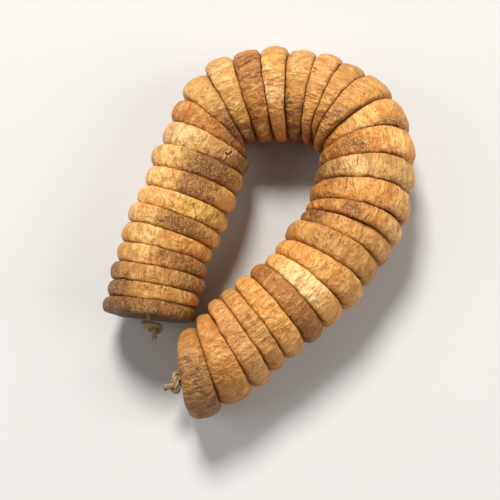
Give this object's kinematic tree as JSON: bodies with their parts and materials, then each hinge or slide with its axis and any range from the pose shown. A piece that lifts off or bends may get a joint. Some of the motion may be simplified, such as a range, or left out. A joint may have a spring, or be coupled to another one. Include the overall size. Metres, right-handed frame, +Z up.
{
  "type": "strand of dried figs",
  "caption": "Strand of whole dried figs, each pressed to a thick disc, threaded face to face on a twine that is knotted at both ends, lying on its rims in an open loop.",
  "frame": {"origin": "on the surface that the strand lies on, under the middle of its bounding box", "axes": "+Z up, +Y from the strand's two ends towards the top of its loop, +X to the right"},
  "size_m": [0.1348, 0.1654, 0.0431],
  "materials": {
    "pale_skin": "dried fig skin, satin",
    "golden_skin": "dried fig skin, satin",
    "amber_skin": "dried fig skin, satin",
    "russet_skin": "dried fig skin, satin",
    "umber_skin": "dried fig skin, satin",
    "twine": "plied natural twine, matt"
  },
  "bodies": {
    "root": {"fig_01": "umber_skin", "fig_02": "golden_skin", "fig_03": "golden_skin", "fig_04": "amber_skin", "fig_05": "golden_skin", "fig_06": "umber_skin", "fig_07": "pale_skin", "fig_08": "golden_skin", "fig_09": "umber_skin", "fig_10": "pale_skin", "fig_11": "russet_skin", "fig_12": "pale_skin", "fig_13": "pale_skin", "fig_14": "russet_skin", "fig_15": "golden_skin", "fig_16": "golden_skin", "fig_17": "golden_skin", "fig_18": "golden_skin", "fig_19": "golden_skin", "fig_20": "golden_skin", "fig_21": "amber_skin", "fig_22": "pale_skin", "fig_23": "amber_skin", "fig_24": "russet_skin", "fig_25": "golden_skin", "fig_26": "golden_skin", "fig_27": "golden_skin", "fig_28": "pale_skin", "fig_29": "russet_skin", "fig_30": "golden_skin", "fig_31": "golden_skin", "fig_32": "golden_skin", "fig_33": "amber_skin", "fig_34": "umber_skin", "twine": "twine"}
  },
  "joints": []
}
